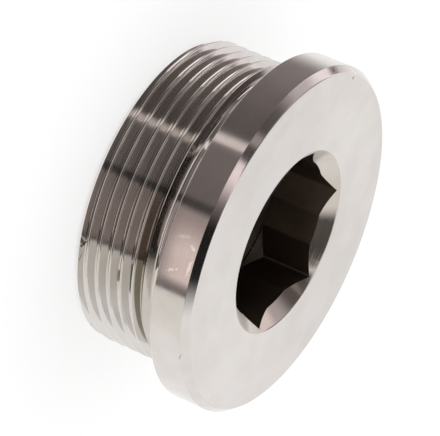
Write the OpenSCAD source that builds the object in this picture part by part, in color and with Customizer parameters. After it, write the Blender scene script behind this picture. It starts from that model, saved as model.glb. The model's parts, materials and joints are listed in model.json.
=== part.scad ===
// Screwed sealing plug with a collar and a hexagon socket.
// It stands on its thread end, with its axis on Z and its head up.

/* [Collar] */
// Diameter of the collar
collar_d = 55; // [52:0.5:70]
// Height of the collar, from its seat to its front face
collar_h = 6.5; // [5:0.1:10]
// Width of the chamfer round the front face, across the axis
front_chamfer_w = 0.88; // [0.3:0.01:1.5]
// Height of the chamfer round the front face, along the axis
front_chamfer_h = 1.14; // [0.3:0.01:2]
// Broken edge at the back of the collar
back_chamfer = 0.25; // [0.05:0.05:0.6]

/* [Thread] */
// Outer diameter of the thread
thread_d = 48; // [46:0.5:50]
// Axial step of one turn
pitch = 2; // [1:0.5:2]
// Length from the seat under the collar to the thread end
shank_l = 16; // [14:0.5:24]
// Width of the lead-in chamfer at the thread end, across the axis
lead_in = 1.3; // [0.8:0.1:2]
// Angle round the axis at which the crest rises out of the thread end
thread_turn = 207; // [0:1:359]

/* [Undercut] */
// Diameter of the plain neck between thread and collar
neck_d = 45; // [42:0.5:45]
// Length of the plain neck, from the seat
neck_l = 2.75; // [2:0.05:5]
// Radius of the fillets at both ends of the neck
neck_fillet = 0.6; // [0.2:0.1:1]

/* [Socket] */
// Width across the flats of the hexagon
socket_af = 24.2; // [19:0.1:25]
// Diameter of the hole that is drilled before the hexagon is cut
pilot_d = 24.5; // [19.3:0.1:25.3]
// Depth of the drilled hole up to its point
socket_depth = 10.4; // [8:0.1:12]
// Diameter of the countersink on the front face
countersink_d = 28.8; // [22.5:0.1:30]
// Full angle of the countersink
countersink_angle = 94; // [80:1:120]
// Full angle of the drill point
drill_angle = 118; // [90:1:140]

/* [Hidden] */

$fn = 96;
thread_r = thread_d / 2;
neck_r = neck_d / 2;
collar_r = collar_d / 2;
pilot_r = pilot_d / 2;
total_h = shank_l + collar_h;
neck_z = shank_l - neck_l;
floor_z = total_h - socket_depth;
cut_over = 1;

// The 60 degree thread form: shares of the pitch, with a flat crest and a round root
flank_angle = 30;
crest_flat = pitch / 8;
thread_depth = 0.61343 * pitch;
root_round = 0.1443 * pitch;
root_steps = 3;
turn_steps = 70;
root_r = thread_r - thread_depth;

// One pitch of the thread, as [distance from the crest's middle, radius]
form = concat(
    [[-crest_flat / 2, thread_r], [crest_flat / 2, thread_r]],
    [for (k = [0 : root_steps])
        let (a = 120 * k / root_steps - 60)
        [pitch / 2 + root_round * sin(a), root_r + root_round * (1 - cos(a))]]
);
form_rows = len(form);
bar_start = -2 * pitch;
bar_rows = form_rows * (2 + ceil((neck_z + 2 * pitch) / pitch));

function row_z(row, step) =
    bar_start + form[row % form_rows][0]
    + pitch * (floor(row / form_rows) + step / turn_steps);
function row_r(row) = form[row % form_rows][1];
// Number of a point of the bar, where the last step of a turn is the first of the next
function spot(row, step) =
    step < turn_steps ? row * turn_steps + step : (row + form_rows) * turn_steps;
// Points of a fillet round a centre, from one angle to another
function fillet(x, z, r, from, to, steps = 4) =
    [for (k = [0 : steps])
        let (a = from + (to - from) * k / steps)
        [x + r * cos(a), z + r * sin(a)]];

// A bar with the thread all along it. Its rows of points climb with the helix,
// and its two ends are ramps that lie outside the shank.
module threaded_bar() {
    last = bar_rows - 1;
    bottom = (bar_rows + form_rows) * turn_steps;
    top = bottom + 1;
    points = concat(
        [for (row = [0 : last + form_rows], step = [0 : turn_steps - 1])
            let (a = 360 * step / turn_steps)
            [row_r(row) * cos(a), row_r(row) * sin(a), row_z(row, step)]],
        [[0, 0, row_z(0, 0)], [0, 0, row_z(last + form_rows, 0)]]
    );
    sides = [for (row = [0 : last - 1], step = [0 : turn_steps - 1])
        let (a = spot(row, step), b = spot(row, step + 1),
             c = spot(row + 1, step + 1), d = spot(row + 1, step))
        each [[a, d, c], [a, c, b]]];
    ramps = [for (step = [0 : turn_steps - 1])
        each [[bottom, spot(0, step), spot(0, step + 1)],
              [top, spot(last, step + 1), spot(last, step)]]];
    ramp_steps = [for (row = [0 : form_rows - 1])
        each [[bottom, spot(row + 1, 0), spot(row, 0)],
              [top, spot(last + row, 0), spot(last + row + 1, 0)]]];
    rotate([0, 0, thread_turn])
        polyhedron(points, concat(sides, ramps, ramp_steps), convexity = 10);
}

// The turned blank: lead-in chamfer, room for the thread, undercut, neck and collar
module blank() {
    over_r = thread_r + 0.5;
    end_r = thread_r - lead_in;
    run_out = tan(flank_angle);
    reach = neck_fillet * tan(45 - flank_angle / 2);
    rotate_extrude()
        polygon(concat(
            [[0, 0], [end_r, 0], [over_r, over_r - end_r],
             [over_r, neck_z - (over_r - neck_r) * run_out]],
            fillet(neck_r + neck_fillet, neck_z + reach, neck_fillet, 180 + 90 - flank_angle, 180),
            fillet(neck_r + neck_fillet, shank_l - neck_fillet, neck_fillet, 180, 90),
            [[collar_r - back_chamfer, shank_l], [collar_r, shank_l + back_chamfer],
             [collar_r, total_h - front_chamfer_h], [collar_r - front_chamfer_w, total_h],
             [0, total_h]]
        ));
}

// The hexagon's end slopes up into its corners, as the cutter leaves it
module hexagon() {
    corner_r = socket_af / 2 / cos(30);
    intersection() {
        translate([0, 0, floor_z])
            cylinder(h = socket_depth + cut_over, r = corner_r, $fn = 6);
        translate([0, 0, floor_z])
            cylinder(h = total_h, r1 = socket_af / 2, r2 = socket_af / 2 + total_h);
    }
}

module socket() {
    point_h = pilot_r / tan(drill_angle / 2);
    sink_h = (countersink_d - socket_af) / 2;
    sink_slope = tan(countersink_angle / 2);
    hexagon();
    translate([0, 0, floor_z])
        cylinder(h = socket_depth + cut_over, r = pilot_r);
    translate([0, 0, floor_z - point_h])
        cylinder(h = point_h, r1 = 0, r2 = pilot_r);
    translate([0, 0, total_h - sink_h])
        cylinder(h = sink_h + cut_over, r1 = countersink_d / 2 - sink_h * sink_slope,
                 r2 = countersink_d / 2 + cut_over * sink_slope);
}

module plug() {
    color("silver")
        difference() {
            intersection() {
                blank();
                union() {
                    threaded_bar();
                    translate([0, 0, neck_z])
                        cylinder(h = total_h, r = collar_r + cut_over);
                }
            }
            socket();
        }
}

plug();
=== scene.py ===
import json
import math

import bmesh
import bpy
from mathutils import Matrix, Quaternion, Vector


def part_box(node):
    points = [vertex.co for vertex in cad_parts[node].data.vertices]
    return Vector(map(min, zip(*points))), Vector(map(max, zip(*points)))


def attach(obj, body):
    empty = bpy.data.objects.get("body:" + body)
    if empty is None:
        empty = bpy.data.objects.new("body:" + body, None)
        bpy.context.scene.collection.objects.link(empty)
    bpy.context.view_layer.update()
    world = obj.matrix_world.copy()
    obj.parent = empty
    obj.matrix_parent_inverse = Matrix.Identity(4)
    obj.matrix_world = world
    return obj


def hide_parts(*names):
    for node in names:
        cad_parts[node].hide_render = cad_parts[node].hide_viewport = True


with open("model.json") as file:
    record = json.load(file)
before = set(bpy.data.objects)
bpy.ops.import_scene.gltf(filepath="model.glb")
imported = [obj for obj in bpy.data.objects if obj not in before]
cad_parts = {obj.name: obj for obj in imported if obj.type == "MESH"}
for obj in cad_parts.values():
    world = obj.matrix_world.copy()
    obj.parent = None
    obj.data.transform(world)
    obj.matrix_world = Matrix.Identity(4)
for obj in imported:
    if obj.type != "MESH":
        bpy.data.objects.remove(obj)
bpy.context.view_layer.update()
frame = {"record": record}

# The screwed plug stands on its thread end, axis on Z. Sizes below are millimetres.
mm = 0.001
deg = math.radians
plugLow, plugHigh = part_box("plug")
mounts = {mount["name"]: mount for mount in frame["record"]["mounts"]}

head = {
    "collarR": (plugHigh.x - plugLow.x) / 2 / mm,
    "height": plugHigh.z / mm,
    "seatZ": mounts["seat"]["pos_m"][2] / mm,
    "frontChamferW": 0.88,     # front chamfer, across the axis
    "frontChamferH": 1.14,     # front chamfer, along the axis
    "backChamfer": 0.25,
    "neckR": 22.5,
    "neckLength": 2.83,
    "neckFillet": 0.5,         # between the neck and the flank of the undercut
    "undercutSlope": 30,       # of that flank, in degrees from the seat's plane
    "seatFillet": 0.12,        # between the neck and the seat
    "edgeRound": 0.06,         # the broken edges of the turned faces
    "frontRound": 0.45,        # between the front face and its chamfer
    "roundSteps": 4,           # segments of each rounding
    "steps": 360,              # segments round the axis
}
thread = {
    "r": mounts["thread"]["dims"]["r_mm"],
    "pitch": 2.0,
    "leadIn": 1.3,             # chamfer at the thread end, across the axis
    "flankAngle": 30,          # half of the 60 degree form
    "crestFlat": 1 / 8,        # these three are shares of the pitch
    "depth": 0.61343,
    "rootRound": 0.1443,
    "crestZ": 0.93,            # height of the crest's middle where it crosses +X
    "crestRound": 0.12,
    "room": 0.5,               # what the turned outline leaves outside the crests
    "spareTurns": (4, 1),      # turns of the bar below the thread end and above the neck
    "steps": 360,              # segments for one turn
}
socket = {
    "extraWidth": 0.15,        # on top of the width across the flats
    "acrossFlats": 2 * mounts["hex_drive"]["dims"]["r_mm"],
    "depth": mounts["hex_drive"]["dims"]["length_mm"],
    "pilotR": 12.42,
    "countersinkR": 14.45,
    "countersinkAngle": 94,
    "drillAngle": 118,
    "rimRound": 0.5,           # between the front face and the countersink
    "throatRound": 0.1,        # between the countersink and the drilled hole
    "cornerRound": 0.04,       # the six upright edges of the hexagon
}
cutters = {
    "over": 1,                 # how far they reach above the front face
    "roomWidth": 1.1,          # of the head's room, as a share of the collar's radius
    "roomSteps": 64,
    "slopeHeight": 15,         # of the cone that the hexagon's floor follows
    "slopeSteps": 180,
}
weldDistance = 0.0004          # vertices that are nearer than this become one
rimDistance = 0.001            # how near the cut the rim of an open end lies


def meshObject(name, bm):
    # Turns a finished bmesh into an object at the origin
    bmesh.ops.remove_doubles(bm, verts=bm.verts, dist=weldDistance * mm)
    bmesh.ops.recalc_face_normals(bm, faces=bm.faces)
    mesh = bpy.data.meshes.new(name)
    bm.to_mesh(mesh)
    bm.free()
    made = bpy.data.objects.new(name, mesh)
    bpy.context.scene.collection.objects.link(made)
    return made


def roundedOutline(corners):
    # Corners are (radius from the axis, height, rounding); each rounding becomes an arc
    points = []
    for i, (r, z, rounding) in enumerate(corners):
        here = Vector((r, z))
        if not rounding:
            points.append(here)
            continue
        back = (Vector(corners[i - 1][:2]) - here).normalized()
        ahead = (Vector(corners[i + 1][:2]) - here).normalized()
        half = back.angle(ahead) / 2
        centre = here + (back + ahead).normalized() * rounding / math.sin(half)
        start = here + back * rounding / math.tan(half) - centre
        end = here + ahead * rounding / math.tan(half) - centre
        step = start.angle_signed(end) / head["roundSteps"]
        for k in range(head["roundSteps"] + 1):
            arm = start.copy()
            arm.rotate(Matrix.Rotation(-step * k, 2))
            points.append(centre + arm)
    return points


def spunChain(bm, points, steps, rise=0.0):
    # Spins a chain of (radius, height) points about Z, climbing by rise in a turn
    verts = [bm.verts.new((r * mm, 0, z * mm)) for r, z in points]
    edges = [bm.edges.new(pair) for pair in zip(verts, verts[1:])]
    bmesh.ops.spin(bm, geom=verts + edges, cent=(0, 0, 0), axis=(0, 0, 1),
                   dvec=(0, 0, rise * mm / steps), angle=2 * math.pi, steps=steps,
                   use_merge=not rise)


def turnedBlank():
    # Everything that the lathe leaves: lead-in, undercut, neck, collar, countersink, drilled hole
    top = head["height"]
    overR = thread["r"] + thread["room"]
    endR = thread["r"] - thread["leadIn"]
    neckZ = head["seatZ"] - head["neckLength"]
    flankDrop = (overR - head["neckR"]) * math.tan(deg(head["undercutSlope"]))
    sinkSlope = math.tan(deg(socket["countersinkAngle"] / 2))
    sinkZ = top - (socket["countersinkR"] - socket["pilotR"]) / sinkSlope
    floorZ = top - socket["depth"]
    pointZ = floorZ - socket["pilotR"] / math.tan(deg(socket["drillAngle"] / 2))
    edge = head["edgeRound"]
    corners = [
        (0, 0, 0),
        (endR, 0, edge),
        (overR, overR - endR, 0),
        (overR, neckZ - flankDrop, 0),
        (head["neckR"], neckZ, head["neckFillet"]),
        (head["neckR"], head["seatZ"], head["seatFillet"]),
        (head["collarR"] - head["backChamfer"], head["seatZ"], edge),
        (head["collarR"], head["seatZ"] + head["backChamfer"], edge),
        (head["collarR"], top - head["frontChamferH"], edge),
        (head["collarR"] - head["frontChamferW"], top, head["frontRound"]),
        (socket["countersinkR"], top, socket["rimRound"]),
        (socket["pilotR"], sinkZ, socket["throatRound"]),
        (socket["pilotR"], floorZ, 0),
        (0, pointZ, 0),
    ]
    bm = bmesh.new()
    spunChain(bm, roundedOutline(corners), head["steps"])
    return meshObject("turnedBlank", bm)


def threadForm():
    # One pitch of the thread from a crest's middle to the next, as (radius, height)
    pitch = thread["pitch"]
    flank = math.tan(deg(thread["flankAngle"]))
    rounding = thread["crestRound"]
    rootRound = thread["rootRound"] * pitch
    rootR = thread["r"] - thread["depth"] * pitch
    cornerZ = thread["crestFlat"] * pitch / 2 - rounding * flank
    crest = [(thread["r"] - rounding * (1 - math.cos(deg(angle))),
              cornerZ + rounding * math.sin(deg(angle))) for angle in (0, 20, 40, 60)]
    root = [(rootR + rootRound * (1 - math.cos(deg(angle))),
             pitch / 2 + rootRound * math.sin(deg(angle))) for angle in range(-60, 61, 20)]
    mirrored = [(r, pitch - z) for r, z in reversed(crest)]
    return [(thread["r"], 0)] + crest + root + mirrored


def threadedBar():
    # The thread as a bar with flat ends, from below the thread end up into the undercut
    pitch = thread["pitch"]
    neckZ = head["seatZ"] - head["neckLength"]
    below, above = thread["spareTurns"]
    turns = math.ceil(neckZ / pitch) + below + above
    start = thread["crestZ"] - below * pitch
    chain = [(r, start + pitch * turn + z) for turn in range(turns) for r, z in threadForm()]
    bm = bmesh.new()
    spunChain(bm, chain, thread["steps"], rise=pitch)
    bmesh.ops.remove_doubles(bm, verts=bm.verts, dist=weldDistance * mm)
    for height, outwards in ((-pitch / 2, -1), (neckZ, 1)):
        geom = bm.verts[:] + bm.edges[:] + bm.faces[:]
        bmesh.ops.bisect_plane(bm, geom=geom, plane_co=(0, 0, height * mm),
                               plane_no=(0, 0, outwards), clear_outer=True)
        rim = [e for e in bm.edges if e.is_boundary
               and all(abs(v.co.z - height * mm) < rimDistance * mm for v in e.verts)]
        bmesh.ops.edgeloop_fill(bm, edges=rim)
    return meshObject("threadedBar", bm)


def headRoom():
    # A plain cylinder, wider and higher than the blank, that keeps it whole above the thread
    neckZ = head["seatZ"] - head["neckLength"]
    depth = (head["height"] - neckZ + cutters["over"]) * mm
    wide = cutters["roomWidth"] * head["collarR"] * mm
    bm = bmesh.new()
    bmesh.ops.create_cone(bm, cap_ends=True, segments=cutters["roomSteps"], radius1=wide,
                          radius2=wide, depth=depth)
    bmesh.ops.translate(bm, verts=bm.verts, vec=(0, 0, neckZ * mm + depth / 2))
    return meshObject("headRoom", bm)


def hexagonCutter():
    # Six flats, with a floor that slopes up into the corners
    floorZ = (head["height"] - socket["depth"]) * mm
    flatR = (socket["acrossFlats"] + socket["extraWidth"]) / 2 * mm
    cornerR = flatR / math.cos(deg(30))
    depth = (socket["depth"] + cutters["over"]) * mm
    bm = bmesh.new()
    bmesh.ops.create_cone(bm, cap_ends=True, segments=6, radius1=cornerR, radius2=cornerR,
                          depth=depth)
    bmesh.ops.rotate(bm, verts=bm.verts, cent=(0, 0, 0), matrix=Matrix.Rotation(deg(30), 3, "Z"))
    upright = [e for e in bm.edges if abs(e.verts[0].co.z - e.verts[1].co.z) > depth / 2]
    bmesh.ops.bevel(bm, geom=upright, offset=socket["cornerRound"] * mm, segments=2, profile=0.5,
                    affect="EDGES")
    bmesh.ops.translate(bm, verts=bm.verts, vec=(0, 0, floorZ + depth / 2))
    prism = meshObject("hexagonCutter", bm)
    rise = cutters["slopeHeight"] * mm
    bm = bmesh.new()
    bmesh.ops.create_cone(bm, cap_ends=True, segments=cutters["slopeSteps"], radius1=flatR,
                          radius2=flatR + rise, depth=rise)
    bmesh.ops.translate(bm, verts=bm.verts, vec=(0, 0, floorZ + rise / 2))
    combine(prism, meshObject("floorSlope", bm), "INTERSECT")
    return prism


def combine(target, other, operation):
    # Applies one boolean and removes the other object
    modifier = target.modifiers.new(operation, "BOOLEAN")
    modifier.operation = operation
    modifier.object = other
    modifier.solver = "MANIFOLD"
    bpy.context.view_layer.update()
    graph = bpy.context.evaluated_depsgraph_get()
    made = bpy.data.meshes.new_from_object(target.evaluated_get(graph), depsgraph=graph)
    target.modifiers.clear()
    old = target.data
    target.data = made
    bpy.data.meshes.remove(old)
    bpy.data.objects.remove(other)


def newMaterial(name):
    material = bpy.data.materials.new(name)
    material.use_nodes = True
    material.node_tree.nodes.clear()
    return material, material.node_tree.nodes, material.node_tree.links


def mathNode(nodes, links, operation, *values):
    node = nodes.new("ShaderNodeMath")
    node.operation = operation
    for i, value in enumerate(values):
        if isinstance(value, (int, float)):
            node.inputs[i].default_value = value
        else:
            links.new(value, node.inputs[i])
    return node.outputs[0]


def ramp(nodes, links, value, start, end, low=0.0, high=1.0):
    # A smooth step from low to high while value goes from start to end
    node = nodes.new("ShaderNodeMapRange")
    node.interpolation_type = "SMOOTHSTEP"
    for i, limit in enumerate((start, end, low, high)):
        node.inputs[i + 1].default_value = limit
    links.new(value, node.inputs[0])
    return node.outputs[0]


def product(nodes, links, *factors):
    result = factors[0]
    for factor in factors[1:]:
        result = mathNode(nodes, links, "MULTIPLY", result, factor)
    return result


def band(nodes, links, value, limits, rest=0):
    # Rises from rest to 1 between the first two limits and falls between the last two
    start, full, fading, end = limits
    return product(nodes, links, ramp(nodes, links, value, start, full, rest, 1),
                   ramp(nodes, links, value, fading, end, 1, rest))


def turnedPlace(nodes, links):
    # The place itself, its distance from the axis, height and turn, in metres and radians
    place = nodes.new("ShaderNodeTexCoord").outputs["Object"]
    split = nodes.new("ShaderNodeSeparateXYZ")
    links.new(place, split.inputs[0])
    x, y, z = split.outputs
    across = mathNode(nodes, links, "MULTIPLY_ADD", y, y, product(nodes, links, x, x))
    radius = mathNode(nodes, links, "SQRT", across)
    return place, radius, z, mathNode(nodes, links, "ARCTAN2", y, x)


def noise(nodes, links, vector, scale, detail=2.0, stretch=(1, 1, 1)):
    mapping = nodes.new("ShaderNodeMapping")
    mapping.inputs["Scale"].default_value = stretch
    links.new(vector, mapping.inputs["Vector"])
    node = nodes.new("ShaderNodeTexNoise")
    node.inputs["Scale"].default_value = scale
    node.inputs["Detail"].default_value = detail
    links.new(mapping.outputs[0], node.inputs["Vector"])
    return node.outputs["Fac"]


def tinted(nodes, links, colour, mask, tone):
    # The colour, with another tone where the mask is 1
    mix = nodes.new("ShaderNodeMix")
    mix.data_type = "RGBA"
    links.new(mask, mix.inputs[0])
    links.new(colour, mix.inputs[6])
    mix.inputs[7].default_value = (*tone, 1)
    return mix.outputs[2]


# Painted shade in the grooves, partly dirt: the last groove by the undercut is darkened as shade
# falls there, and two short dark lines are painted shadows of burrs that are not modelled, with some
# dirt.
# Heights and distances in millimetres, turns in degrees; "rest" is what is left of the tone elsewhere
# round the thread
grooveShadeAndDirt = {
    "lastGroove": {"crest": (11.25, 11.35, 99, 99.1), "groove": (-1.25, -0.95, -0.3, -0.18),
                   "turn": (-122, -92, 120, 175), "rest": 0.2, "tone": (0.25, 0.22, 0.17)},
    "darkLine": {"crest": (10.1, 10.2, 10.8, 10.9), "groove": (-1.2, -1.08, -0.88, -0.8),
                 "turn": (-76, -73, -63, -60), "rest": 0, "tone": (0.13, 0.12, 0.08)},
    "dirt": {"crest": (8.1, 8.2, 8.8, 8.9), "groove": (-1.35, -1.1, -0.85, -0.75),
             "turn": (-70, -68.5, -65, -63.5), "rest": 0, "tone": (0.2, 0.18, 0.15)},
}


def darkenedGroove(nodes, links, colour, height, turn, darkening):
    # The mask follows the helix: "crest" is the height of the next crest above a place, "groove"
    # the place's height seen from that crest, so it is below zero
    climb = mathNode(nodes, links, "MULTIPLY", turn, thread["pitch"] / (2 * math.pi))
    step = mathNode(nodes, links, "SUBTRACT", height, climb)
    step = mathNode(nodes, links, "SUBTRACT", step, thread["crestZ"])
    groove = mathNode(nodes, links, "WRAP", step, 0, -thread["pitch"])
    crest = mathNode(nodes, links, "SUBTRACT", height, groove)
    mask = product(nodes, links, band(nodes, links, crest, darkening["crest"]),
                   band(nodes, links, groove, darkening["groove"]),
                   band(nodes, links, turn, map(deg, darkening["turn"]), darkening["rest"]))
    # Paints the groove's shade into the colour
    return tinted(nodes, links, colour, mask, darkening["tone"])


# The outer half of the undercut's flank is dull on one side, and there a dark tone paints shade and a
# dark reflection into its colour
dullShadedSide = {
    "level": (-0.5, -0.35),    # heights from the flank's plane between which it comes up
    "radius": (23.1, 23.3, 23.9, 23.96),
    "turn": (-174, -166, -124, -121),
    "tone": (0.15, 0.125, 0.12),
    "roughness": 0.35,
}


def dullShadedFlank(nodes, links, radius, height, turn):
    slope = math.tan(deg(head["undercutSlope"]))
    neckLevel = head["seatZ"] - head["neckLength"] + head["neckR"] * slope
    level = mathNode(nodes, links, "MULTIPLY_ADD", radius, slope, height)
    level = mathNode(nodes, links, "SUBTRACT", level, neckLevel)
    return product(nodes, links, ramp(nodes, links, level, *dullShadedSide["level"]),
                   band(nodes, links, radius, dullShadedSide["radius"]),
                   band(nodes, links, turn, map(deg, dullShadedSide["turn"])))


# The countersink is matt in two places, one of them where the turn jumps from 180 to -180
mattEnds = {"low": (-60, -48, -22, -12), "jump": (158, 168), "roughness": 0.4}


def mattSink(nodes, links, turn):
    away = mathNode(nodes, links, "ABSOLUTE", turn)
    return mathNode(nodes, links, "ADD", band(nodes, links, turn, map(deg, mattEnds["low"])),
                    ramp(nodes, links, away, *map(deg, mattEnds["jump"])))


# Painted light and shade on the socket's walls: they get darker in steps round the turn where shade
# falls, with a painted highlight along one corner. Each step runs between two turns in degrees; what
# it leaves lit is multiplied by the others
socketShade = {
    "steps": ((59, 61, 0.5, 1), (78, 80, 0.4, 1), (100, 102, 0.7, 1), (119, 121, 1, 0.15)),
    "tone": (0.2, 0.16, 0.125),
    "line": (59.9, 60.1, 60.9, 61.2),
    "lineTone": (0.95, 0.9, 0.78),
}


def shadedSocketWalls(nodes, links, colour, turn):
    litShare = product(nodes, links, *(ramp(nodes, links, turn, deg(first), deg(last), low, high)
                                    for first, last, low, high in socketShade["steps"]))
    walls = tinted(nodes, links, colour, ramp(nodes, links, litShare, 0, 1, 1, 0), socketShade["tone"])
    line = band(nodes, links, turn, map(deg, socketShade["line"]))
    return tinted(nodes, links, walls, line, socketShade["lineTone"])


# Marks of use on each finish, thin along one slanting line from outside: place, half sizes (deep,
# along, up), tilt, raggedness and tone
markSide = 254.5
markSlope = 23.6
markEdge = (1.1, 0.6)          # shares of the half sizes between which a mark comes up
markGrain = 4000               # scale of the noise that breaks a mark's edge
marks = {
    "threadSteel": {
        "startSlash": {"turn": 284.5, "r": 24, "z": 1.8, "half": (2.2, 1.0, 0.12), "tilt": -30,
                       "ragged": 1.0, "tone": (0.07, 0.06, 0.06)},
        "startTop": {"turn": 285.7, "r": 24, "z": 2.33, "half": (2.2, 0.75, 0.09), "tilt": 8,
                     "ragged": 1.0, "tone": (0.15, 0.13, 0.12)},
        "startSpeck": {"turn": 285.8, "r": 24, "z": 1.42, "half": (2.2, 0.28, 0.16), "ragged": 0.9,
                       "tone": (0.05, 0.05, 0.05)},
        "startLine": {"turn": 290.4, "r": 24, "z": 1.46, "half": (2.2, 0.85, 0.07), "ragged": 0.9,
                      "tone": (0.2, 0.19, 0.17)},
        "endScratch": {"turn": 326.8, "r": 24, "z": 1.75, "half": (2.2, 0.45, 0.1), "tilt": -40,
                       "ragged": 0.4, "tone": (0.35, 0.34, 0.3)},
    },
    "rimSteel": {
        "edgeLine": {"turn": 305.5, "r": 27.5, "z": 21.28, "half": (0.6, 2.0, 0.07), "ragged": 0.6,
                     "tone": (0.3, 0.28, 0.26)},
        "chamferDent": {"turn": 184.5, "r": 27.1, "z": 21.9, "half": (0.5, 0.35, 0.3), "tilt": 30,
                        "ragged": 0.4, "tone": (0.4, 0.37, 0.36)},
        # Painted highlights: four pale pinkish streaks on the collar, lighter than the steel, stand
        # for glints
        "wrinkleUp": {"turn": 276.3, "r": 27.5, "z": 18.25, "half": (0.5, 0.25, 1.9), "tilt": 31,
                      "ragged": 3.2, "tone": (1.0, 0.92, 0.91)},
        "wrinkleLong": {"turn": 273.7, "r": 27.5, "z": 20.8, "half": (0.6, 2.2, 0.25), "ragged": 3.2,
                        "tone": (1.0, 0.92, 0.91)},
        "wrinkleEnd": {"turn": 267.6, "r": 27.5, "z": 20.5, "half": (0.5, 0.25, 0.7), "tilt": -40,
                       "ragged": 2.5, "tone": (1.0, 0.93, 0.92)},
        "wrinkleFaint": {"turn": 265.4, "r": 27.5, "z": 18.6, "half": (0.5, 0.35, 1.7), "tilt": 14,
                         "ragged": 3.0, "tone": (0.86, 0.8, 0.79)},
    },
    "faceSteel": {
        "faceDent": {"turn": 170.5, "r": 26.0, "z": 22.5, "half": (0.5, 0.28, 0.2), "ragged": 0.4,
                     "tone": (0.4, 0.37, 0.35)},
    },
}


def marked(nodes, links, colour, here, mark):
    # Gives its tone to what lies in a thin soft ellipsoid: a scratch, a dent or a speck of dirt
    turn = deg(mark["turn"])
    mapping = nodes.new("ShaderNodeMapping")
    mapping.vector_type = "TEXTURE"
    mapping.inputs["Location"].default_value = (mark["r"] * math.cos(turn) * mm,
                                                mark["r"] * math.sin(turn) * mm, mark["z"] * mm)
    mapping.inputs["Rotation"].default_value = (deg(mark.get("tilt", 0)), deg(-markSlope),
                                                deg(markSide))
    mapping.inputs["Scale"].default_value = [half * mm for half in mark["half"]]
    links.new(here, mapping.inputs["Vector"])
    reach = nodes.new("ShaderNodeVectorMath")
    reach.operation = "LENGTH"
    links.new(mapping.outputs[0], reach.inputs[0])
    ragged = mathNode(nodes, links, "SUBTRACT", noise(nodes, links, here, markGrain), 0.5)
    edge = mathNode(nodes, links, "MULTIPLY_ADD", ragged, mark["ragged"], reach.outputs["Value"])
    return tinted(nodes, links, colour, ramp(nodes, links, edge, *markEdge), mark["tone"])


# The finishes of the one steel: two tints and two roughnesses with noise between them, how far
# the gloss is drawn out round the axis, and the scales of clouds, tool rings and fine grain
finishes = {
    "faceSteel": {"tint": ((0.735, 0.70, 0.665), (0.775, 0.74, 0.715)), "roughness": (0.36, 0.44),
                  "anisotropy": 0.3, "cloudScale": 160, "ringScale": 9, "ringStretch": (1, 1, 0.3),
                  "grainScale": 3000, "grain": 0.8, "bump": 0.25},
    "rimSteel": {"tint": ((0.695, 0.65, 0.62), (0.725, 0.685, 0.66)), "roughness": (0.12, 0.17),
                 "anisotropy": 0.8, "cloudScale": 300, "ringScale": 6, "ringStretch": (1, 1, 0.3),
                 "grainScale": 2200, "grain": 1.0, "bump": 0.08},
    "neckSteel": {"tint": ((0.73, 0.70, 0.67), (0.78, 0.75, 0.72)), "roughness": (0.05, 0.09),
                  "anisotropy": 0.6, "cloudScale": 90, "ringScale": 6, "ringStretch": (1, 1, 0.3),
                  "grainScale": 2200, "grain": 1.0, "bump": 0.05},
    "threadSteel": {"tint": ((0.65, 0.62, 0.59), (0.70, 0.67, 0.645)), "roughness": (0.07, 0.12),
                    "anisotropy": 0.6, "cloudScale": 150, "ringScale": 7, "ringStretch": (1, 1, 0.5),
                    "grainScale": 1800, "grain": 0.6, "bump": 0.08},
    # socketSteel's tints are raised above the other steels' as painted light on the socket's walls,
    # and drillSteel's are nearly black as painted shade on the drilled floor
    "socketSteel": {"tint": ((0.84, 0.7, 0.58), (1.0, 0.86, 0.75)), "roughness": (0.3, 0.38),
                    "anisotropy": 0.0, "cloudScale": 130, "ringScale": 9, "ringStretch": (1, 0.05, 6),
                    "grainScale": 1500, "grain": 0.5, "bump": 0.3},
    "drillSteel": {"tint": ((0.033, 0.027, 0.022), (0.06, 0.05, 0.042)), "roughness": (0.3, 0.4),
                   "anisotropy": 0.0, "cloudScale": 260, "ringScale": 6, "ringStretch": (1, 1, 0.3),
                   "grainScale": 1500, "grain": 0.8, "bump": 0.3},
    "countersinkSteel": {"tint": ((0.58, 0.525, 0.47), (0.63, 0.58, 0.53)), "roughness": (0.12, 0.18),
                         "anisotropy": 0.7, "cloudScale": 150, "ringScale": 7,
                         "ringStretch": (1, 1, 0.4), "grainScale": 1800, "grain": 0.8, "bump": 0.15},
}
cloudLevels = (0.35, 0.65)     # noise levels between which the first tint gives way to the second
ringLevels = (0.3, 0.7)        # the same for the two roughnesses
bumpDepth = 0.01               # height of rings and grain at full strength


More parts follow.
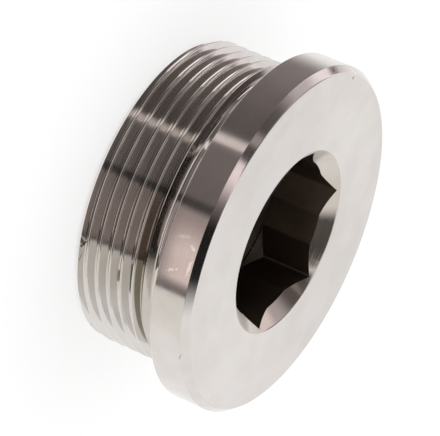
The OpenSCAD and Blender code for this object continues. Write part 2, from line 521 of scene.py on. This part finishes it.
def steel(name, finish):
    # One finish of the plug's steel: tint, gloss, the tool's rings and a little unevenness
    material, nodes, links = newMaterial(name)
    here, radius, height, turn = turnedPlace(nodes, links)
    radius = mathNode(nodes, links, "MULTIPLY", radius, 1 / mm)
    height = mathNode(nodes, links, "MULTIPLY", height, 1 / mm)
    rings = nodes.new("ShaderNodeCombineXYZ")
    for socketIn, value in zip(rings.inputs, (radius, height, turn)):
        links.new(value, socketIn)
    shader = nodes.new("ShaderNodeBsdfPrincipled")
    shader.inputs["Metallic"].default_value = 1
    shader.inputs["Anisotropic"].default_value = finish["anisotropy"]
    shader.inputs["Anisotropic Rotation"].default_value = 0.25
    if finish["anisotropy"]:
        tangent = nodes.new("ShaderNodeTangent")
        tangent.direction_type = "RADIAL"
        tangent.axis = "Z"
        links.new(tangent.outputs[0], shader.inputs["Tangent"])
    clouds = noise(nodes, links, here, finish["cloudScale"], 4)
    tint = nodes.new("ShaderNodeMix")
    tint.data_type = "RGBA"
    links.new(ramp(nodes, links, clouds, *cloudLevels), tint.inputs[0])
    tint.inputs[6].default_value = (*finish["tint"][0], 1)
    tint.inputs[7].default_value = (*finish["tint"][1], 1)
    colour = tint.outputs[2]
    fine = noise(nodes, links, rings.outputs[0], finish["ringScale"], 3, finish["ringStretch"])
    rough = ramp(nodes, links, fine, *ringLevels, *finish["roughness"])
    # Painted shade in the grooves, partly dirt
    if name == "threadSteel":
        for darkening in grooveShadeAndDirt.values():
            colour = darkenedGroove(nodes, links, colour, height, turn, darkening)
    # Painted light and shade on the socket's walls
    if name == "socketSteel":
        colour = shadedSocketWalls(nodes, links, colour, turn)
    # Painted shade on one side of the undercut's flank, with added roughness
    if name in ("threadSteel", "neckSteel"):
        dullShade = dullShadedFlank(nodes, links, radius, height, turn)
        colour = tinted(nodes, links, colour, dullShade, dullShadedSide["tone"])
        rough = mathNode(nodes, links, "MULTIPLY_ADD", dullShade, dullShadedSide["roughness"], rough)
    if name == "countersinkSteel":
        matt = mattSink(nodes, links, turn)
        rough = mathNode(nodes, links, "MULTIPLY_ADD", matt, mattEnds["roughness"], rough)
    for mark in marks.get(name, {}).values():
        colour = marked(nodes, links, colour, here, mark)
    links.new(colour, shader.inputs["Base Color"])
    links.new(rough, shader.inputs["Roughness"])
    grain = noise(nodes, links, here, finish["grainScale"], 3)
    bump = nodes.new("ShaderNodeBump")
    bump.inputs["Strength"].default_value = finish["bump"]
    bump.inputs["Distance"].default_value = bumpDepth * mm
    links.new(mathNode(nodes, links, "MULTIPLY_ADD", grain, finish["grain"], fine),
              bump.inputs["Height"])
    links.new(bump.outputs[0], shader.inputs["Normal"])
    out = nodes.new("ShaderNodeOutputMaterial")
    links.new(shader.outputs[0], out.inputs[0])
    return material


# Where one finish ends and the next begins
zones = {
    "faceDepth": 0.01,         # how far down the front face's finish reaches
    "wallDepth": 5,            # below the countersink and above the socket's floor
    "pointZ": 3,               # below the point of the drilled hole
    "flankDepth": 0.02,        # how far the undercut's finish reaches into the flank
    "upward": 0.3,             # the least upward part of a normal on floor and countersink
}
crease = 32                    # edges sharper than this, in degrees, stay sharp
creaseInside = 5               # the same in the socket


def finishName(face):
    # The finish of a face, from its place and its slope
    centre = face.calc_center_median()
    r = math.hypot(centre.x, centre.y)
    top = head["height"] * mm
    if centre.z > top - zones["faceDepth"] * mm:
        return "faceSteel"
    wallTop = top - zones["wallDepth"] * mm
    sinkR = (socket["countersinkR"] + socket["rimRound"]) * mm
    if r < sinkR and centre.z > wallTop and face.normal.z > zones["upward"]:
        return "countersinkSteel"
    if r < socket["countersinkR"] * mm and centre.z > zones["pointZ"] * mm:
        # The drilled floor takes the nearly black finish that paints its shade
        floor = centre.z < wallTop and abs(face.normal.z) > zones["upward"]
        return "drillSteel" if floor else "socketSteel"
    if centre.z > (head["seatZ"] + 0.5 * head["backChamfer"]) * mm:
        return "rimSteel"
    neckZ = (head["seatZ"] - head["neckLength"]) * mm
    flankZ = neckZ - (r - head["neckR"] * mm) * math.tan(deg(head["undercutSlope"]))
    return "neckSteel" if centre.z > flankZ - zones["flankDepth"] * mm else "threadSteel"


def plug():
    bar = threadedBar()
    combine(bar, headRoom(), "UNION")
    made = turnedBlank()
    combine(made, bar, "INTERSECT")
    combine(made, hexagonCutter(), "DIFFERENCE")
    made.name = "turnedPlug"
    made.data.materials.clear()
    for name, finish in finishes.items():
        made.data.materials.append(steel(name, finish))
    slots = {name: i for i, name in enumerate(finishes)}
    bm = bmesh.new()
    bm.from_mesh(made.data)
    bmesh.ops.remove_doubles(bm, verts=bm.verts, dist=weldDistance * mm)
    bmesh.ops.dissolve_degenerate(bm, edges=bm.edges, dist=weldDistance * mm)
    for face in bm.faces:
        face.smooth = True
        face.material_index = slots[finishName(face)]
    inside = (slots["socketSteel"], slots["drillSteel"])
    for edge in bm.edges:
        allInside = all(face.material_index in inside for face in edge.link_faces)
        edge.smooth = edge.calc_face_angle(0) < deg(creaseInside if allInside else crease)
    loose = [edge for edge in bm.edges if not edge.is_manifold]
    print("plug mesh:", len(bm.verts), "vertices", sum(len(f.verts) - 2 for f in bm.faces),
          "triangles", len(loose), "open edges")
    bm.to_mesh(made.data)
    bm.free()
    weighted = made.modifiers.new("weightedNormals", "WEIGHTED_NORMAL")
    weighted.keep_sharp = True
    weighted.weight = 100
    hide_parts("plug")
    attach(made, "root")


# Dark and light cards round the set, seen only in the steel. Azimuths are the camera's own: it
# stands at 180. Each card has its own range of azimuth and elevation, with soft edges ("fade" at
# its sides, "rise" at its bottom and top), and stands at a distance in metres. It may lean, the
# right side alone with "rightLean". Its shade runs from the first side to the last, or over the
# part of the way that "reach" gives, and is multiplied by "above" higher up.
cards = {
    "sideCurtain": {"azimuth": (30, 137.3), "fade": (30, 4.5), "elevation": (-50, 78),
                    "rise": (10, 8), "shade": ((0.31, 0.27, 0.265), (0.12, 0.105, 0.10)),
                    "above": 0.7, "distance": 1.00},
    "darkCurtain": {"azimuth": (140.4, 238.9), "fade": (2, 2), "elevation": (-42, 40),
                    "rise": (10, 30), "shade": ((0.19, 0.165, 0.16), (0.085, 0.075, 0.07)),
                    "above": 0.4, "distance": 1.00},
    "darkShoulder": {"azimuth": (140, 261), "fade": (8, 32), "rightLean": 1.2,
                     "elevation": (6, 84), "rise": (20, 10),
                     "shade": ((0.006, 0.006, 0.006), (0.02, 0.019, 0.018)),
                     "distance": 0.96},
    "lowBrown": {"azimuth": (184.5, 238), "fade": (1.5, 6), "elevation": (-42, -10),
                 "rise": (10, 12), "shade": ((0.30, 0.25, 0.24), (0.33, 0.275, 0.265)),
                 "distance": 0.95},
    "seam": {"azimuth": (177.5, 184.5), "fade": (3, 1), "elevation": (-45, 30),
             "rise": (10, 10), "shade": ((0.05, 0.045, 0.045), (0.05, 0.045, 0.045)),
             "distance": 0.94},
    "strip": {"azimuth": (133, 145), "fade": (2, 2), "elevation": (-52, 34),
              "rise": (6, 6), "shade": ((0.84, 0.76, 0.74), (0.84, 0.76, 0.74)),
              "distance": 1.06},
    "sinkLift": {"azimuth": (184, 262), "fade": (6, 14), "elevation": (58, 86),
                 "rise": (8, 4), "shade": ((0.07, 0.065, 0.06), (0.13, 0.12, 0.115)),
                 "distance": 0.89},
    "upperSide": {"azimuth": (12, 52), "fade": (12, 8), "elevation": (30, 76),
                  "rise": (6, 14), "shade": ((0.3, 0.285, 0.28), (0.3, 0.285, 0.28)),
                  "distance": 0.91},
    "lineLight": {"azimuth": (60, 97), "fade": (12, 1.2), "elevation": (-5, 19),
                  "rise": (4, 7), "shade": ((2.0, 1.9, 1.92), (2.0, 1.9, 1.92)),
                  "distance": 0.915},
    "lineGlow": {"azimuth": (99, 112), "fade": (1.5, 6), "elevation": (-5, 19),
                 "rise": (4, 7), "shade": ((0.6, 0.56, 0.55), (0.6, 0.56, 0.55)),
                 "distance": 0.915},
    "chamferMark": {"azimuth": (43.5, 53.5), "fade": (3, 3.5), "elevation": (4, 18),
                    "rise": (4, 4), "shade": ((0.34, 0.28, 0.28), (0.34, 0.28, 0.28)),
                    "distance": 0.90},
    "stripTop": {"azimuth": (126, 150), "fade": (2, 3), "elevation": (34, 70),
                 "rise": (6, 4), "shade": ((0.07, 0.06, 0.06), (0.07, 0.06, 0.06)),
                 "distance": 0.95},
    "highTail": {"azimuth": (150, 196), "fade": (4, 26), "elevation": (36, 72),
                 "rise": (8, 6), "shade": ((0.22, 0.19, 0.19), (0.22, 0.19, 0.19)),
                 "distance": 0.93},
    "highGlow": {"azimuth": (138, 178), "fade": (3.5, 29), "elevation": (36, 72),
                 "rise": (8, 6), "shade": ((1.12, 0.98, 0.98), (1.12, 0.98, 0.98)),
                 "distance": 0.92},
    "highStrip": {"azimuth": (105, 122.5), "fade": (8, 5), "lean": -1.14, "elevation": (36, 66),
                  "rise": (4, 6), "shade": ((0.42, 0.37, 0.36), (0.42, 0.37, 0.36)),
                  "distance": 0.92},
    "sideGlow": {"azimuth": (30, 109), "fade": (10, 35), "lean": -0.8, "elevation": (-3, 60),
                 "rise": (7, 14), "shade": ((0.62, 0.56, 0.58), (0.60, 0.545, 0.565)),
                 "distance": 0.93},
    "sideLight": {"azimuth": (30, 74), "fade": (10, 18), "lean": -0.8, "elevation": (-3, 50),
                  "rise": (7, 16), "shade": ((1.05, 0.97, 0.99), (1.09, 1.0, 1.02)),
                  "distance": 0.92},
    "warmSide": {"azimuth": (238, 292), "fade": (1, 50), "elevation": (-75, 30),
                 "rise": (4, 20), "shade": ((0.86, 0.84, 0.79), (0.97, 0.96, 0.93)),
                 "distance": 1.04},
    "nearReflector": {"azimuth": (184.2, 216.5), "fade": (0.8, 4.5), "elevation": (12.5, 24),
                      "rise": (1.5, 1), "shade": ((0.38, 0.31, 0.305), (0.88, 0.745, 0.71)),
                      "reach": 0.55, "distance": 0.044},
}
cameraAzimuth = 254.5          # where the camera stands, from +X towards +Y
rightLeanFrom = 45             # elevation above which the right side leans
rightLeanRoom = 100            # what that side gets wider, in degrees
dimming = (-20, 45)            # elevations between which "above" comes in
cardSteps = (30, 48)           # segments up and round


def cardMaterial(name, card):
    material, nodes, links = newMaterial(name)
    radius, height, azimuth = turnedPlace(nodes, links)[1:]
    elevation = mathNode(nodes, links, "ARCTAN2", height, radius)
    first, last = card["azimuth"]
    half = (last - first) / 2              # the mesh is made round +X, from -half to half
    low, high = card["elevation"]
    slope = card.get("lean", 0)
    lean = mathNode(nodes, links, "MULTIPLY_ADD", elevation, slope, -slope * deg(low + high) / 2)
    left = mathNode(nodes, links, "SUBTRACT", azimuth, lean)
    rightSlope = card.get("rightLean", 0)
    raised = mathNode(nodes, links, "MAXIMUM", elevation, deg(rightLeanFrom))
    rightLean = mathNode(nodes, links, "MULTIPLY_ADD", raised, -rightSlope,
                         deg(rightLeanFrom) * rightSlope)
    right = mathNode(nodes, links, "ADD", left, rightLean)
    leftFade, rightFade = card["fade"]
    bottomRise, topRise = card["rise"]
    upright = [deg(limit) for limit in (low, low + bottomRise, high - topRise, high)]
    cover = product(nodes, links, ramp(nodes, links, left, deg(-half), deg(leftFade - half)),
                    ramp(nodes, links, right, deg(half - rightFade), deg(half), 1, 0),
                    band(nodes, links, elevation, upright))
    reach = 2 * half * card.get("reach", 1) - half
    tone = nodes.new("ShaderNodeMix")
    tone.data_type = "RGBA"
    links.new(ramp(nodes, links, left, deg(-half), deg(reach)), tone.inputs[0])
    tone.inputs[6].default_value = (*card["shade"][0], 1)
    tone.inputs[7].default_value = (*card["shade"][1], 1)
    glow = nodes.new("ShaderNodeEmission")
    links.new(tone.outputs[2], glow.inputs[0])
    dimmed = ramp(nodes, links, elevation, *map(deg, dimming), 1, card.get("above", 1))
    links.new(dimmed, glow.inputs[1])
    clear = nodes.new("ShaderNodeBsdfTransparent")
    mix = nodes.new("ShaderNodeMixShader")
    links.new(cover, mix.inputs[0])
    links.new(clear.outputs[0], mix.inputs[1])
    links.new(glow.outputs[0], mix.inputs[2])
    out = nodes.new("ShaderNodeOutputMaterial")
    links.new(mix.outputs[0], out.inputs[0])
    return material


def makeCard(name, card):
    # A piece of a sphere round the plug: one point spun into a meridian, then the meridian round Z
    first, last = card["azimuth"]
    low, high = card["elevation"]
    upSteps, roundSteps = cardSteps
    span = last - first + abs(card.get("lean", 0)) * (high - low)
    if "rightLean" in card:
        span += rightLeanRoom
    bm = bmesh.new()
    vert = bm.verts.new((card["distance"], 0, 0))
    bmesh.ops.rotate(bm, verts=[vert], cent=(0, 0, 0), matrix=Matrix.Rotation(-deg(low), 3, "Y"))
    bmesh.ops.spin(bm, geom=[vert], cent=(0, 0, 0), axis=(0, 1, 0), angle=-deg(high - low),
                   steps=upSteps)
    bmesh.ops.rotate(bm, verts=bm.verts, cent=(0, 0, 0),
                     matrix=Matrix.Rotation(-deg(span / 2), 3, "Z"))
    bmesh.ops.spin(bm, geom=bm.verts[:] + bm.edges[:], cent=(0, 0, 0), axis=(0, 0, 1),
                   angle=deg(span), steps=roundSteps)
    made = meshObject(name, bm)
    made.rotation_euler.z = deg((first + last) / 2 - 180 + cameraAzimuth)
    made.data.materials.append(cardMaterial(name, card))
    made.visible_camera = False
    made.visible_diffuse = False
    made.visible_shadow = False
    made.visible_transmission = False


# Strengths of the sky and the floor, and what they get on top for the rays that should see white
studio = {
    "sky": 0.8,
    "skySeen": 0.2,
    "floor": (0.5, 0.5, 0.5),
    "floorSeen": 0.64,
    "floorSize": 6,            # half its width, in metres
}


def whiteRays(nodes, links):
    # 1 for rays that should see the plain white ground: camera, glossy and transmission
    rays = nodes.new("ShaderNodeLightPath").outputs
    seen = mathNode(nodes, links, "MAXIMUM", rays["Is Camera Ray"], rays["Is Glossy Ray"])
    return mathNode(nodes, links, "MAXIMUM", seen, rays["Is Transmission Ray"])


def makeWorld():
    world = bpy.data.worlds.new("studio")
    bpy.context.scene.world = world
    world.use_nodes = True
    nodes, links = world.node_tree.nodes, world.node_tree.links
    nodes.clear()
    strength = mathNode(nodes, links, "MULTIPLY_ADD", whiteRays(nodes, links), studio["skySeen"],
                        studio["sky"])
    sky = nodes.new("ShaderNodeBackground")
    sky.inputs[0].default_value = (1, 1, 1, 1)
    links.new(strength, sky.inputs[1])
    out = nodes.new("ShaderNodeOutputWorld")
    links.new(sky.outputs[0], out.inputs[0])


def makeFloor():
    # A plain floor that shows white and keeps the plug's shadow
    bm = bmesh.new()
    bmesh.ops.create_grid(bm, x_segments=1, y_segments=1, size=studio["floorSize"])
    floor = meshObject("floor", bm)
    material, nodes, links = newMaterial("floorPaper")
    paper = nodes.new("ShaderNodeBsdfDiffuse")
    paper.inputs[0].default_value = (*studio["floor"], 1)
    lift = nodes.new("ShaderNodeEmission")
    links.new(mathNode(nodes, links, "MULTIPLY", whiteRays(nodes, links), studio["floorSeen"]),
              lift.inputs[1])
    both = nodes.new("ShaderNodeAddShader")
    links.new(paper.outputs[0], both.inputs[0])
    links.new(lift.outputs[0], both.inputs[1])
    out = nodes.new("ShaderNodeOutputMaterial")
    links.new(both.outputs[0], out.inputs[0])
    floor.data.materials.append(material)
    floor.visible_glossy = False


# Sizes of the camera in millimetres and degrees
camera = {
    "azimuth": -15.5,          # 0 looks along +Y
    "elevation": 23.6155,
    "roll": 113.595,           # the photograph is turned round the line of sight
    "distance": 575.696,
    "aim": (0.696, -0.384, 10.830),
    "lens": 317.288,
    "sensor": 36,              # width of the picture of 440 by 436
    "clip": (50, 20000),
}


def makeCamera():
    data = bpy.data.cameras.new("camera")
    data.lens = camera["lens"]
    data.sensor_width = camera["sensor"]
    data.clip_start, data.clip_end = (distance * mm for distance in camera["clip"])
    made = bpy.data.objects.new("camera", data)
    bpy.context.scene.collection.objects.link(made)
    a, e = deg(camera["azimuth"]), deg(camera["elevation"])
    back = Vector((math.sin(a) * math.cos(e), -math.cos(a) * math.cos(e), math.sin(e)))
    made.location = (Vector(camera["aim"]) + back * camera["distance"]) * mm
    made.rotation_mode = "QUATERNION"
    rolled = Quaternion(back, deg(camera["roll"]))
    made.rotation_quaternion = rolled @ (-back).to_track_quat("-Z", "Y")
    bpy.context.scene.camera = made


print("stage: the plug")
plug()
print("stage: floor and world")
makeFloor()
makeWorld()
print("stage: cards")
for cardName, cardSizes in cards.items():
    makeCard(cardName, cardSizes)
print("stage: camera")
makeCamera()
bpy.context.scene.view_settings.view_transform = "Standard"
